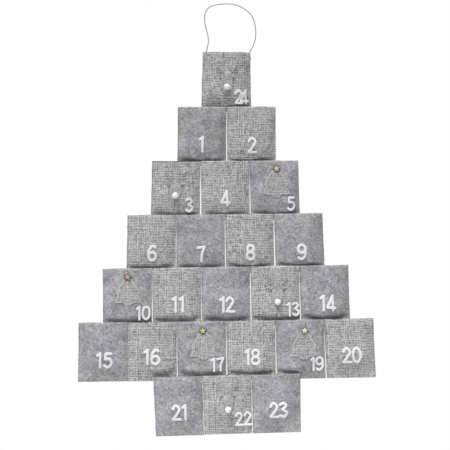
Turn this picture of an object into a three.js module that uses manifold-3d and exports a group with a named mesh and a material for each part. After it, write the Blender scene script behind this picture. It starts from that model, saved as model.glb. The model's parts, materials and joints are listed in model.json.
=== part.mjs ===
// A hanging advent calendar: 24 cloth pouches in seven rows that make the shape of a fir tree.
//
// Millimetres, +Z up. The front faces -Y and the wall is behind, towards +Y. The origin is
// inside the top of the cord's loop, where the nail holds it. Each row hangs from the bottoms
// of the row above, half a pouch aside, and swings forward about a line just above its mouth edge.
import * as THREE from "three";
import { mergeVertices } from "three/addons/utils/BufferGeometryUtils.js";
import Module from "manifold-3d";

const wasm = await Module();
wasm.setup();

const { lerp, smoothstep } = THREE.MathUtils;

// Driving dimensions of the pouches
const POUCH_WIDTH = 98;
const POUCH_HEIGHT = 120;
const CLOTH = 2;
const SIDE_SEAM = 3; // cloth left of and right of a pouch's inside
const MOUTH = 6.7; // inside, from the back cloth to the front cloth
const BELLY_RISE = 36; // height over which the front swells out above the flat bottom strip
const SIDE_GAP = 2; // between neighbours in a row
const LAP = 11.5; // how far a row's mouth edges hang over the bottoms of the row above
const LAP_MARGIN = 0.5; // flat cloth that shows above the lap
const STEP_MARGIN = 4.5; // straight back cloth below the lap
const STEP_RUN = 10; // height over which the back cloth comes forward to clear the row above
const EASE = 0.3; // clearance between pieces that lie on each other

// Driving dimensions of what is on the pouches
const NUMERAL_HEIGHT = 34;
const NUMERAL_STROKE = 5;
const NUMERAL_THICKNESS = 1.2;
const NUMERAL_CENTRE = 44; // above the bottom fold
const CORNER_NUMERAL_HEIGHT = 30;
const CORNER_NUMERAL_CENTRE = 31; // above the bottom fold
const CORNER_NUMERAL_ASIDE = 30; // right of the pouch's middle
const DIGIT_MERGE = 1; // how far the strokes of two digits run into each other
const TREE_WIDTH = 48;
const TREE_HEIGHT = 57;
const TREE_FOOT = 45; // above the bottom fold
const TRIM_CLOTH = 1.2;
const STAR_WIDTH = 15.4;
const STAR_THICKNESS = 3;
const STAR_WAIST = 0.45; // inner corners, as a share of the way out to the tips
const HEAD_WIDTH = 26;
const HEAD_HEIGHT = 36;
const HEAD_CENTRE = 53; // above the bottom fold
const EAR_LENGTH = 15;
const EAR_WIDTH = 7.5;
const EAR_TILT = 0.35; // radians
const ANTLER_STROKE = 3.6;
const ANTLER_SPREAD = 48;
const ANTLER_HEIGHT = 27;
const POMPOM = 12.6;
const POMPOM_SINK = 0.8; // how far the pompom sits into the felt of the head
const NOSE_CENTRE = 50; // above the bottom fold

// Driving dimensions of the cord
const CORD = 2;
const LOOP_RISE = 97.5; // from the top pouch's mouth edge to the nail
const CORD_LEFT = -41;
const CORD_RIGHT = 46.5;
const KNOT_WIDTH = 5.6;

// Sizes that follow
const FOLD = 2 * CLOTH; // two cloths pressed together, at the bottom fold and the side seams
const STAND_OFF = FOLD + EASE; // off the wall, in front of the row above
const BELLY = STAND_OFF + FOLD + MOUTH;
const FLAT_TOP = LAP + LAP_MARGIN;
const BELLY_HEIGHT = FLAT_TOP + BELLY_RISE;
const STEP_TOP = POUCH_HEIGHT - LAP - STEP_MARGIN;
const STEP_FOOT = STEP_TOP - STEP_RUN;
const PITCH = POUCH_WIDTH + SIDE_GAP;
const ROW_PITCH = POUCH_HEIGHT - LAP;
const WALL_Y = STAND_OFF - EASE - CORD / 2; // the cord lies on the back cloth, in the plane y = 0
const HALF = POUCH_WIDTH / 2;

// The numbers from the top row down, and what is on their pouches
const words = (text) => text.split(" ");
const ROWS = [
  "24",
  "1 2",
  "3 4 5",
  "6 7 8 9",
  "10 11 12 13 14",
  "15 16 17 18 19 20",
  "21 22 23",
].map(words);
const WOVEN = words("2 3 4 6 8 11 13 16 18 20 22 24");
const TREES = words("5 10 17 19");
const REINDEER = words("3 13 22 24");

function fabric(name, color, roughness) {
  return new THREE.MeshStandardMaterial({ name, color, roughness, metalness: 0 });
}
const feltGrey = fabric("felt_grey", 0x96969b, 0.95);
const wovenGrey = fabric("woven_grey", 0xa3a39f, 0.9);
const feltLilac = fabric("felt_lilac", 0x8f8f98, 0.95);
const numeralWhite = fabric("numeral_white", 0xebebee, 0.8);
const twine = fabric("twine", 0x9c958a, 0.9);

// A closed three.js geometry as a solid that can be cut and joined
function solid(geometry) {
  const bare = geometry.clone();
  bare.deleteAttribute("normal");
  bare.deleteAttribute("uv");
  const merged = mergeVertices(bare, 1e-4);
  const vertProperties = merged.attributes.position.array;
  const triVerts = new Uint32Array(merged.index.array);
  return new wasm.Manifold(new wasm.Mesh({ numProp: 3, vertProperties, triVerts }));
}

function namedMesh(name, body, material) {
  const { vertProperties, triVerts } = body.getMesh();
  const geometry = new THREE.BufferGeometry();
  geometry.setAttribute("position", new THREE.BufferAttribute(vertProperties, 3));
  geometry.setIndex(new THREE.BufferAttribute(triVerts, 1));
  geometry.computeVertexNormals();
  const mesh = new THREE.Mesh(geometry, material);
  mesh.name = name;
  return mesh;
}

const joined = (bodies) => bodies.reduce((whole, body) => whole.add(body));

// The back cloth lies on the wall and comes forward near the mouth, to clear the row above
function backDepth(height) {
  return STAND_OFF * smoothstep(height, STEP_FOOT, STEP_TOP);
}

// The front cloth is flat at the bottom, swells out over the belly and stays out to the mouth
function frontDepth(across, height) {
  const edge = backDepth(height) + FOLD;
  const middle = lerp(FOLD, BELLY, smoothstep(height, FLAT_TOP, BELLY_HEIGHT));
  const swell = 1 - (Math.abs(across) / HALF) ** 4;
  return edge + (middle - edge) * swell;
}

// The places across and up a pouch where its cloth bends
const COLUMNS = [-1, -0.85, -0.5, 0.5, 0.85, 1].map((share) => share * HALF);
const BEND = lerp(FLAT_TOP, BELLY_HEIGHT, 0.45);
const BACK_LEVELS = [0, STEP_FOOT, STEP_TOP, POUCH_HEIGHT];
const FRONT_LEVELS = [0, FLAT_TOP, BEND, BELLY_HEIGHT, STEP_FOOT, STEP_TOP, POUCH_HEIGHT];

// Fills the strip between two chains of points that run the same way along one axis
function strip(points, nearChain, farChain, axis, turned) {
  const faces = [];
  let [i, j] = [0, 0];
  while (i + 1 < nearChain.length || j + 1 < farChain.length) {
    const nearNext = points[nearChain[i + 1]]?.[axis] ?? Infinity;
    const farNext = points[farChain[j + 1]]?.[axis] ?? Infinity;
    if (nearNext <= farNext) {
      faces.push([nearChain[i], nearChain[i + 1], farChain[j]]);
      i += 1;
    } else {
      faces.push([nearChain[i], farChain[j + 1], farChain[j]]);
      j += 1;
    }
  }
  return turned ? faces.map((face) => face.reverse()) : faces;
}

// The solid between two cloth faces: the places where each bends, and its depth off the wall
function slab(near, far) {
  const points = [];
  const faces = [];
  const edges = [near, far].map(({ columns, levels, depth }, side) => {
    const rows = levels.map((z) => columns.map((x) => points.push([x, -depth(x, z), z]) - 1));
    for (let level = 0; level < levels.length - 1; level += 1) {
      for (let column = 0; column < columns.length - 1; column += 1) {
        // Each quad is split from its lower corner nearer the middle, so cloths share facets
        const [a, b] = rows[level].slice(column, column + 2);
        const [d, c] = rows[level + 1].slice(column, column + 2);
        const left = columns[column] + columns[column + 1] < 0;
        const pair = left ? [[b, c, d], [b, d, a]] : [[a, b, c], [a, c, d]];
        faces.push(...(side ? pair.map((face) => face.reverse()) : pair));
      }
    }
    return {
      bottom: rows[0],
      top: rows.at(-1),
      left: rows.map((row) => row[0]),
      right: rows.map((row) => row.at(-1)),
    };
  });
  const [front, back] = edges;
  const [ACROSS, UP] = [0, 2];
  faces.push(...strip(points, front.bottom, back.bottom, ACROSS, true));
  faces.push(...strip(points, front.top, back.top, ACROSS, false));
  faces.push(...strip(points, front.left, back.left, UP, false));
  faces.push(...strip(points, front.right, back.right, UP, true));
  const geometry = new THREE.BufferGeometry();
  geometry.setAttribute("position", new THREE.Float32BufferAttribute(points.flat(), 3));
  geometry.setIndex(faces.flat());
  return solid(geometry);
}

// A pouch stands on its bottom fold, with its back to the wall: one cloth, open at the top
function pouch() {
  const whole = slab(
    { columns: COLUMNS, levels: FRONT_LEVELS, depth: frontDepth },
    { columns: [-HALF, HALF], levels: BACK_LEVELS, depth: (x, z) => backDepth(z) },
  );
  const seam = HALF - SIDE_SEAM;
  const above = POUCH_HEIGHT + CLOTH;
  const hollow = slab(
    {
      columns: [-seam, COLUMNS[2], COLUMNS[3], seam],
      levels: [...FRONT_LEVELS.slice(2), above],
      depth: (x, z) => frontDepth(x, Math.min(z, POUCH_HEIGHT)) - CLOTH,
    },
    {
      columns: [-seam, seam],
      levels: [BEND, ...BACK_LEVELS.slice(1), above],
      depth: (x, z) => backDepth(z) + CLOTH,
    },
  );
  return whole.subtract(hollow);
}

// Presses shapes that pass right through a pouch onto its front cloth
function draped(shapes, thickness) {
  const sheet = (lift) => ({
    columns: COLUMNS,
    levels: FRONT_LEVELS,
    depth: (x, z) => frontDepth(x, z) + EASE + lift,
  });
  return joined(shapes).intersect(slab(sheet(thickness), sheet(0)));
}

// A flat shape drawn across and up a pouch, as a block that passes right through it
function punch(shape, curveSegments = 1) {
  const depth = 2 * (BELLY + STAR_THICKNESS);
  const options = { depth, bevelEnabled: false, curveSegments };
  return solid(new THREE.ExtrudeGeometry(shape, options).rotateX(Math.PI / 2));
}

// A stroke of one width along points. One that ends where it starts is a ring
function stroke(points, width) {
  const closed = points[0].distanceTo(points.at(-1)) < width / 100;
  const course = closed ? points.slice(0, -1) : points;
  const count = course.length;
  const beside = (side) =>
    course.map((at, i) => {
      const before = course[closed ? (i + count - 1) % count : Math.max(i - 1, 0)];
      const after = course[closed ? (i + 1) % count : Math.min(i + 1, count - 1)];
      const along = new THREE.Vector2().subVectors(after, before).normalize();
      return new THREE.Vector2(along.y, -along.x).multiplyScalar((side * width) / 2).add(at);
    });
  const [outer, inner] = [beside(1), beside(-1).reverse()];
  if (closed) {
    const ring = new THREE.Shape(outer);
    ring.holes.push(new THREE.Path(inner));
    return punch(ring);
  }
  const roundEnd = (from, to) =>
    [0.25, 0.5, 0.75].map((share) => {
      const middle = from.clone().lerp(to, 0.5);
      return from.clone().rotateAround(middle, share * Math.PI);
    });
  const finish = roundEnd(outer.at(-1), inner[0]);
  const start = roundEnd(inner.at(-1), outer[0]);
  return punch(new THREE.Shape([...outer, ...finish, ...inner, ...start]));
}

const place = (pairs) => pairs.map(([x, z]) => new THREE.Vector2(x, z));
const line = (...pairs) => place(pairs);
const curve = (...pairs) => new THREE.SplineCurve(place(pairs)).getPoints(pairs.length + 2);
const loop = (x, z, wide, high) => new THREE.EllipseCurve(x, z, wide, high).getPoints(10);

// The strokes of the ten digits, in shares of the height between the strokes' end points
const DIGITS = [
  [loop(0.27, 0.5, 0.27, 0.5)],
  [line([0, 0.85], [0.2, 1]), line([0.2, 1], [0.19, 0])],
  [curve([0, 0.76], [0.2, 1], [0.46, 0.76], [0.28, 0.38], [0, 0.02]), line([0, 0.02], [0.52, 0])],
  [
    curve([0, 0.88], [0.22, 1], [0.42, 0.78], [0.16, 0.56]),
    curve([0.16, 0.56], [0.47, 0.3], [0.28, 0], [0, 0.1]),
  ],
  [line([0.42, 0], [0.39, 1]), line([0.39, 1], [0.02, 0.18]), line([0.02, 0.18], [0.56, 0.15])],
  [
    line([0.46, 0.97], [0.1, 0.97]),
    line([0.1, 0.97], [0.06, 0.58]),
    curve([0.06, 0.58], [0.36, 0.6], [0.5, 0.28], [0.24, 0], [0, 0.1]),
  ],
  [curve([0.46, 0.92], [0.27, 1], [0.05, 0.72], [0, 0.3]), loop(0.26, 0.28, 0.26, 0.28)],
  [line([0, 0.93], [0.48, 0.98]), curve([0.48, 0.98], [0.3, 0.5], [0.26, 0])],
  [loop(0.26, 0.75, 0.22, 0.25), loop(0.26, 0.26, 0.26, 0.26)],
  [loop(0.26, 0.72, 0.26, 0.28), curve([0.52, 0.72], [0.5, 0.28], [0.26, 0], [0.03, 0.1])],
];

// Closest distance of two digits' strokes when the second is moved aside by shift
function gapBetween(first, second, shift) {
  const dots = (digit) =>
    DIGITS[digit].flatMap((points) => {
      const steps = [0, 0.25, 0.5, 0.75, 1];
      return points.slice(1).flatMap((end, i) => steps.map((s) => points[i].clone().lerp(end, s)));
    });
  const right = dots(second).map((dot) => new THREE.Vector2(dot.x + shift, dot.y));
  return Math.min(...dots(first).map((dot) => Math.min(...right.map((at) => at.distanceTo(dot)))));
}

// A number's strokes side by side: a second digit is slid in until it runs into the first
function written(number) {
  const digits = [...number].map(Number);
  const reach = NUMERAL_HEIGHT - NUMERAL_STROKE;
  if (digits.length === 1) return DIGITS[digits[0]];
  const touching = (NUMERAL_STROKE - DIGIT_MERGE) / reach;
  let shift = 1;
  while (gapBetween(...digits, shift) > touching) shift -= 0.005;
  const second = DIGITS[digits[1]].map((points) =>
    points.map((at) => new THREE.Vector2(at.x + shift, at.y)),
  );
  return [...DIGITS[digits[0]], ...second];
}

function numeral(number) {
  const cornered = TREES.includes(number) || REINDEER.includes(number);
  const height = cornered ? CORNER_NUMERAL_HEIGHT : NUMERAL_HEIGHT;
  const size = height / NUMERAL_HEIGHT;
  const reach = size * (NUMERAL_HEIGHT - NUMERAL_STROKE);
  const aside = cornered ? CORNER_NUMERAL_ASIDE : 0;
  const centre = cornered ? CORNER_NUMERAL_CENTRE : NUMERAL_CENTRE;
  const strokes = written(number);
  const middle = Math.max(...strokes.flat().map((at) => at.x)) / 2;
  const put = ({ x, y }) => {
    return new THREE.Vector2(aside + (x - middle) * reach, centre + (y - 0.5) * reach);
  };
  const bars = strokes.map((points) => stroke(points.map(put), size * NUMERAL_STROKE));
  return draped(bars, NUMERAL_THICKNESS);
}

// A fir of three tiers with a short trunk, and a star that is sewn over its tip
function treeWithStar() {
  const tiers = [[0.44, 0.61], [0.37, 0.58], [0.49, 0.38], [0.43, 0.35], [0.5, 0.12]];
  const trunk = [[0.15, 0.12], [0.13, 0.03], [0.08, 0]];
  const half = [...tiers, ...trunk];
  const tip = TREE_FOOT + TREE_HEIGHT;
  const at = ([x, z], side) => {
    return new THREE.Vector2(side * x * TREE_WIDTH, TREE_FOOT + z * TREE_HEIGHT);
  };
  const outline = [
    new THREE.Vector2(0, tip),
    ...half.map((point) => at(point, -1)),
    ...half.map((point) => at(point, 1)).reverse(),
  ];
  const radius = STAR_WIDTH / (2 * Math.cos(Math.PI / 10));
  const corners = Array.from({ length: 10 }, (_, i) => {
    const reach = i % 2 ? STAR_WAIST * radius : radius;
    const turn = Math.PI / 2 + (i * Math.PI) / 5;
    return new THREE.Vector2(reach * Math.cos(turn), tip + reach * Math.sin(turn));
  });
  const tree = draped([punch(new THREE.Shape(outline))], TRIM_CLOTH);
  return tree.add(draped([punch(new THREE.Shape(corners))], STAR_THICKNESS));
}

// A reindeer's head seen from the front, with ears and antlers, and a pompom for its nose
function reindeerHead() {
  const oval = (x, z, long, wide, turn) =>
    punch(new THREE.Shape().absellipse(x, z, long / 2, wide / 2, 0, 2 * Math.PI, false, turn), 5);
  const crown = HEAD_CENTRE + HEAD_HEIGHT / 2;
  const parts = [oval(0, HEAD_CENTRE, HEAD_WIDTH, HEAD_HEIGHT, 0)];
  for (const side of [-1, 1]) {
    const ear = (HEAD_WIDTH + EAR_LENGTH - EAR_WIDTH) / 2;
    parts.push(oval(side * ear, crown - EAR_WIDTH, EAR_LENGTH, EAR_WIDTH, side * EAR_TILT));
    const put = ({ x, y }) => {
      return new THREE.Vector2((side * x * ANTLER_SPREAD) / 2, crown + y * ANTLER_HEIGHT);
    };
    const beam = curve([0.17, -0.12], [0.38, 0.4], [0.87, 0.56], [1, 1]);
    const tines = [line([0.46, 0.44], [0.42, 0.85]), line([0.3, 0.3], [0.6, 0.18])];
    for (const points of [beam, ...tines]) parts.push(stroke(points.map(put), ANTLER_STROKE));
  }
  const seat = frontDepth(0, NOSE_CENTRE) + EASE + TRIM_CLOTH;
  const ball = new THREE.SphereGeometry(POMPOM / 2, 10, 7);
  ball.translate(0, POMPOM_SINK - POMPOM / 2 - seat, NOSE_CENTRE);
  return draped(parts, TRIM_CLOTH).add(solid(ball));
}

// The loop's route in the plane y = 0, from its left end to its right end
const LOOP_ROUTE = [
  [CORD_LEFT, EASE - LOOP_RISE],
  [-39, -88],
  [-36.8, -77.6],
  [-37.2, -66],
  [-40, -53],
  [-43.5, -39.5],
  [-44.3, -26.7],
  [-42.3, -15.4],
  [-36.6, -7.6],
  [-26.8, -2.5],
  [-13.9, 0],
  [0, CORD / 2],
  [10, 0.5],
  [19, -1.3],
  [29, -5],
  [41, -12.6],
  [49.5, -21],
  [55.1, -32.3],
  [58.3, -45.2],
  [59.2, -60.7],
  [56.9, -75],
  [52.3, -86.6],
  [CORD_RIGHT, EASE - LOOP_RISE],
];

function hangingCord() {
  const route = LOOP_ROUTE.map(([x, z]) => new THREE.Vector3(x, 0, z));
  const section = new THREE.Shape().absarc(0, 0, CORD / 2, 0, 2 * Math.PI);
  const extrudePath = new THREE.CatmullRomCurve3(route);
  return solid(new THREE.ExtrudeGeometry(section, { extrudePath, steps: 54, curveSegments: 4 }));
}

// A cord's end lies straight down the back of the top pouch and ends in a flat knot
function cordEnd() {
  const tail = new THREE.CylinderGeometry(CORD / 2, CORD / 2, LAP, 8).rotateX(Math.PI / 2);
  tail.translate(0, 0, -EASE - LAP / 2);
  const deep = STAND_OFF - 2 * EASE;
  const knot = new THREE.SphereGeometry(0.5, 8, 6).scale(KNOT_WIDTH, deep, KNOT_WIDTH);
  knot.translate(0, WALL_Y - STAND_OFF / 2, -EASE - LAP);
  return solid(tail).add(solid(knot));
}

// The calendar: the cord, then row hung on row
const calendar = new THREE.Group();
calendar.add(namedMesh("hanging_cord", hangingCord(), twine));

// One pouch with its numeral and its trim
function numbered(number) {
  const tag = number.padStart(2, "0");
  const cloth = WOVEN.includes(number) ? wovenGrey : feltGrey;
  const bag = new THREE.Group();
  bag.add(namedMesh(`pouch_${tag}`, pouch(), cloth));
  bag.add(namedMesh(`numeral_${tag}`, numeral(number), numeralWhite));
  if (TREES.includes(number)) {
    bag.add(namedMesh(`tree_with_star_${tag}`, treeWithStar(), wovenGrey));
  }
  if (REINDEER.includes(number)) {
    bag.add(namedMesh(`reindeer_head_${tag}`, reindeerHead(), feltLilac));
  }
  return bag;
}

let hungOn = calendar;
let drop = LOOP_RISE;
for (const numbers of ROWS) {
  const row = new THREE.Group();
  row.position.z = -drop;
  hungOn.add(row);
  numbers.forEach((number, i) => {
    const bag = numbered(number);
    bag.position.set((i - (numbers.length - 1) / 2) * PITCH, WALL_Y, -POUCH_HEIGHT);
    row.add(bag);
  });
  hungOn = row;
  drop = ROW_PITCH;
}

const [topRow] = calendar.children.slice(1);
for (const [side, x] of [["left", CORD_LEFT], ["right", CORD_RIGHT]]) {
  const end = namedMesh(`cord_end_${side}`, cordEnd(), twine);
  end.position.x = x;
  topRow.add(end);
}

export default calendar;
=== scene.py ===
# %% [markdown]
# # A hanging advent calendar in felt, woven cloth and twine
#
# Twenty-four flat pouches hang in seven rows that make the outline of a fir tree. Each row's
# mouths lie in front of the bottoms of the row above. The imported model gives every piece's
# place and the joints about which the rows swing forward. This lesson makes each soft piece
# again with the folds, threads and thickness that the plain solids leave out.

import json
import math
import random

import bmesh
import bpy
from mathutils import Matrix, Vector, noise
from mathutils.bvhtree import BVHTree
from mathutils.geometry import interpolate_bezier
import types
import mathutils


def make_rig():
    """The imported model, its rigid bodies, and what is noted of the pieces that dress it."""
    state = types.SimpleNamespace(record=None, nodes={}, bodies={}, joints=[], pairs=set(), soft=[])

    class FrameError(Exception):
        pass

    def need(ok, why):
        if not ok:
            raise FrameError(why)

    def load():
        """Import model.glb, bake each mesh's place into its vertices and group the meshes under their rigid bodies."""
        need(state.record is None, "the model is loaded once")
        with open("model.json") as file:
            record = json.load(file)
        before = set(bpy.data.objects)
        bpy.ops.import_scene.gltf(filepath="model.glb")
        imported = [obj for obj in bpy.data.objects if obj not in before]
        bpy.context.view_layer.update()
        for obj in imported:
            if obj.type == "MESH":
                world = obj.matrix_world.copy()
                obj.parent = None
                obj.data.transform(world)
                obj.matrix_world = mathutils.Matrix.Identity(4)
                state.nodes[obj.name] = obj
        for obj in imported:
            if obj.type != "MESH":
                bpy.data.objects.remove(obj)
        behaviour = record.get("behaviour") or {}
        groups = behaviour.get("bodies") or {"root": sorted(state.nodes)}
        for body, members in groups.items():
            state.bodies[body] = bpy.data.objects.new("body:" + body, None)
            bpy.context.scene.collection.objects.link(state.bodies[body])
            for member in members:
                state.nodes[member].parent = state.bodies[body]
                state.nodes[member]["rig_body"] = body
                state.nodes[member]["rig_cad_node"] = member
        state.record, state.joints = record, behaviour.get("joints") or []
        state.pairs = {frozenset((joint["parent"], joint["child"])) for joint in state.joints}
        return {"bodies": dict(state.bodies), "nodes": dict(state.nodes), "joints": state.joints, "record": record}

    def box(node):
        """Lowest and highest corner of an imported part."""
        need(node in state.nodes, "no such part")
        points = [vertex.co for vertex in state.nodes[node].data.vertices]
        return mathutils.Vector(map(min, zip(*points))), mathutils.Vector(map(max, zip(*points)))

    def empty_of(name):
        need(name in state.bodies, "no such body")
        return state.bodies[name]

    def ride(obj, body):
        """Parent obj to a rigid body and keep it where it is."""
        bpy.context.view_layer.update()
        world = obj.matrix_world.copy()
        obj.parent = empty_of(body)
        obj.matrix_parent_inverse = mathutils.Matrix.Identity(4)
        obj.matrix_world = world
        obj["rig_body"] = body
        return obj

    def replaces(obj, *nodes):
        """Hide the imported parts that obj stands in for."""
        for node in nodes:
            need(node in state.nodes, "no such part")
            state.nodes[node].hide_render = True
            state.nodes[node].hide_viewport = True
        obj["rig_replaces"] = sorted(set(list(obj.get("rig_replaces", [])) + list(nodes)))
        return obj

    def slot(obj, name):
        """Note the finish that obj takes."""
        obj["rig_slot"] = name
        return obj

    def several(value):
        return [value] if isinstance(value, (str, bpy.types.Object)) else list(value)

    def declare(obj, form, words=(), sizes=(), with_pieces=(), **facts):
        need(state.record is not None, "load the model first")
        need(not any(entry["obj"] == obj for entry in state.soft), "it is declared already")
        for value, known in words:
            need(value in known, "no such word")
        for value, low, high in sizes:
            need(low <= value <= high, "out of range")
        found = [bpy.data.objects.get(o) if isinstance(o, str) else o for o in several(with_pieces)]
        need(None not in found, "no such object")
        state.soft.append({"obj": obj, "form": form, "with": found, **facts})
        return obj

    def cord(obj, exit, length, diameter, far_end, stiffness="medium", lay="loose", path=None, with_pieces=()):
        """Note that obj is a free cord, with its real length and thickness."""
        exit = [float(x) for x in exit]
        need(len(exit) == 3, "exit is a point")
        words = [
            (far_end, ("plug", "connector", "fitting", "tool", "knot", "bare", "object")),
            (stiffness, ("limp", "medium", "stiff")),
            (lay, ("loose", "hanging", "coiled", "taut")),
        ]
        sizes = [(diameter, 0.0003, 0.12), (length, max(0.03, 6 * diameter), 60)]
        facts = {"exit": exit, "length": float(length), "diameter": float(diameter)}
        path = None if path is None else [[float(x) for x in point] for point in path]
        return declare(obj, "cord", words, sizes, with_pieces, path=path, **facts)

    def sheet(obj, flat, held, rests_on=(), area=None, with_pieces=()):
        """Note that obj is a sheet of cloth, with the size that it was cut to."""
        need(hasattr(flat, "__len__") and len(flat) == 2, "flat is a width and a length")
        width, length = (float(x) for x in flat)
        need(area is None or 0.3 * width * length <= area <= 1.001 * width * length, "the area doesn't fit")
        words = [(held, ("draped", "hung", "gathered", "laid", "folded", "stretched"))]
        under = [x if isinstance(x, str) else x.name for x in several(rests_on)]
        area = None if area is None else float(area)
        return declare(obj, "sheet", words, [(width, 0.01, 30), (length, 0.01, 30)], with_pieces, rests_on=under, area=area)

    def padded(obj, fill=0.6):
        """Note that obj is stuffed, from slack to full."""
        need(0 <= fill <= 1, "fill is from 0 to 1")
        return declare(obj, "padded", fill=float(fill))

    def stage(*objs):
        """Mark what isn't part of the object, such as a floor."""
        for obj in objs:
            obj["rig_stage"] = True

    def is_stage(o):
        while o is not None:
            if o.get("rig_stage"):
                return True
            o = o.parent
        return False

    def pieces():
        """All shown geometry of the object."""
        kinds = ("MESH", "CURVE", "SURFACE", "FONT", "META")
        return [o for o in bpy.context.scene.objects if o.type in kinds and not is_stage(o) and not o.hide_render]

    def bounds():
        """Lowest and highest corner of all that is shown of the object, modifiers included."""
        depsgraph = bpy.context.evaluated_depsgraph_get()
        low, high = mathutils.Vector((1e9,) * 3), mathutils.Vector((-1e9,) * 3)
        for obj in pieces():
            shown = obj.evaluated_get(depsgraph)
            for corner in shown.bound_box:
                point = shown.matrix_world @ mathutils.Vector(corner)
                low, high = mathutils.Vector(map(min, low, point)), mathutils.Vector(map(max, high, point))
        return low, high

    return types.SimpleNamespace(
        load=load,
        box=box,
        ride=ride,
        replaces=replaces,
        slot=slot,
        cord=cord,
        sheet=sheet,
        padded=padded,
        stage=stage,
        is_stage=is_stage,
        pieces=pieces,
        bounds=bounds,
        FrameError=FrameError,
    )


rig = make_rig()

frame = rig.load()
cad_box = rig.bounds()
MM = 0.001
# Vector noise starts from the clock unless it is given a seed
noise.seed_set(24)
print("CAD nodes:", len(frame["nodes"]), "bodies:", len(frame["bodies"]))

# %% [markdown]
# ## The camera
#
# The photograph is taken square on, level with the middle of the calendar. From two metres
# away the lower mouths are seen a little from above, so that their lit lips and the dark
# hollows behind them show, as in the photograph. The width that the picture covers, at the
# distance of the cloth, sets the focal length.

# %% Place the camera in front of the calendar
PICTURE_WIDTH = 905.4 * MM
PICTURE_CENTRE = Vector((-3.0 * MM, -8 * MM, -445.6 * MM))
CAMERA_DISTANCE = 2.0
SENSOR_WIDTH = 36

camera_data = bpy.data.cameras.new("camera")
camera_data.sensor_width = SENSOR_WIDTH
camera_data.lens = SENSOR_WIDTH * CAMERA_DISTANCE / PICTURE_WIDTH
camera_data.clip_end = 20
camera = bpy.data.objects.new("camera", camera_data)
camera.location = PICTURE_CENTRE - Vector((0, CAMERA_DISTANCE, 0))
camera.rotation_euler = (math.radians(90), 0, 0)
scene = bpy.context.scene
scene.collection.objects.link(camera)
scene.camera = camera
scene.view_settings.view_transform = "Standard"
print("lens:", round(camera_data.lens, 1), "mm")

# %% [markdown]
# ## Small helpers for meshes
#
# A bmesh is a mesh that is being worked on. These helpers turn one into an object that rides
# on the body of a CAD node, takes a material, and may stand for that plain node.

# %% Turn a finished bmesh into a piece
CLOTH_CREASE = math.radians(50)


def new_object(name, bm):
    mesh = bpy.data.meshes.new(name)
    bm.to_mesh(mesh)
    bm.free()
    made = bpy.data.objects.new(name, mesh)
    scene.collection.objects.link(made)
    return made


def new_piece(name, bm, material, slot, node, stands_for=True):
    piece = new_object(name, bm)
    piece.data.materials.append(material)
    piece.data.polygons.foreach_set("use_smooth", [True] * len(piece.data.polygons))
    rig.ride(piece, frame["nodes"][node]["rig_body"])
    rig.slot(piece, slot)
    if stands_for:
        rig.replaces(piece, node)
    return piece


def give_thickness(piece, thickness, rounding, segments=1):
    """Makes a flat sheet as thick as its cloth, with softened edges, in millimetres."""
    thicken = piece.modifiers.new("thicken", "SOLIDIFY")
    thicken.thickness = thickness * MM
    thicken.offset = 0
    soften = piece.modifiers.new("soften", "BEVEL")
    soften.width = rounding * MM
    soften.segments = segments
    soften.limit_method = "ANGLE"
    soften.angle_limit = CLOTH_CREASE


def add_copy(bm, part, matrix=Matrix()):
    """Adds a small bmesh to a bigger one, moved by a matrix."""
    verts = [bm.verts.new(matrix @ vert.co) for vert in part.verts]
    part.verts.index_update()
    for face in part.faces:
        bm.faces.new([verts[vert.index] for vert in face.verts])


def mark_cloth(bm, shift, depth=0):
    """Notes each point's place on the flat cloth, in mm. With depth 1 the pattern goes through."""
    on_cloth = bm.verts.layers.float_vector.new("cloth")
    for vert in bm.verts:
        place = Vector((vert.co.x, vert.co.z, vert.co.y * depth))
        vert[on_cloth] = place / MM + Vector(shift)


def ease(share):
    """A smooth step from 0 to 1."""
    share = min(max(share, 0), 1)
    return share * share * (3 - 2 * share)


# %% [markdown]
# ## Shader helpers
#
# A pattern in a material is a sum of many small steps. Each function here adds one node to
# the tree that its inputs belong to and hands back its result, so that a pattern reads nearly
# like a formula.

# %% Write node trees like formulas


def give(socket, value):
    if isinstance(value, bpy.types.NodeSocket):
        socket.id_data.links.new(value, socket)
    else:
        socket.default_value = value


def add_node(tree, kind, inputs=None, **settings):
    made = tree.nodes.new(kind)
    for name, value in settings.items():
        setattr(made, name, value)
    for name, value in (inputs or {}).items():
        give(made.inputs[name], value)
    return made


def tree_of(*values):
    """The node tree that holds the first socket among the values."""
    return next(value.id_data for value in values if isinstance(value, bpy.types.NodeSocket))


def maths(operation, *values):
    inputs = dict(enumerate(values))
    return add_node(tree_of(*values), "ShaderNodeMath", inputs, operation=operation).outputs[0]


def minus(first, second):
    return maths("SUBTRACT", first, second)


def times(first, second, plus=None):
    if plus is None:
        return maths("MULTIPLY", first, second)
    return maths("MULTIPLY_ADD", first, second, plus)


def blend_colours(share, first, second, mode="MIX"):
    inputs = {"Factor": share, 6: first, 7: second}
    tree = tree_of(share, first, second)
    made = add_node(tree, "ShaderNodeMix", inputs, data_type="RGBA", blend_type=mode)
    return made.outputs[2]


def soft_step(value, low, high):
    inputs = {"Value": value, "From Min": low, "From Max": high}
    kind = "ShaderNodeMapRange"
    return add_node(tree_of(value), kind, inputs, interpolation_type="SMOOTHSTEP").outputs[0]


def clouds(at, scale, detail=2.0, roughness=0.5, distortion=0.0):
    """Smooth noise around 0.5."""
    inputs = {
        "Vector": at,
        "Scale": scale,
        "Detail": detail,
        "Roughness": roughness,
        "Distortion": distortion,
    }
    return add_node(tree_of(at), "ShaderNodeTexNoise", inputs).outputs["Fac"]


def point_at(x, y, z):
    inputs = dict(enumerate((x, y, z)))
    return add_node(tree_of(x, y, z), "ShaderNodeCombineXYZ", inputs).outputs[0]


def toned(shade, factor):
    """A colour times a factor that varies over the surface."""
    return blend_colours(1.0, shade, point_at(factor, factor, factor), "MULTIPLY")


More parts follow.
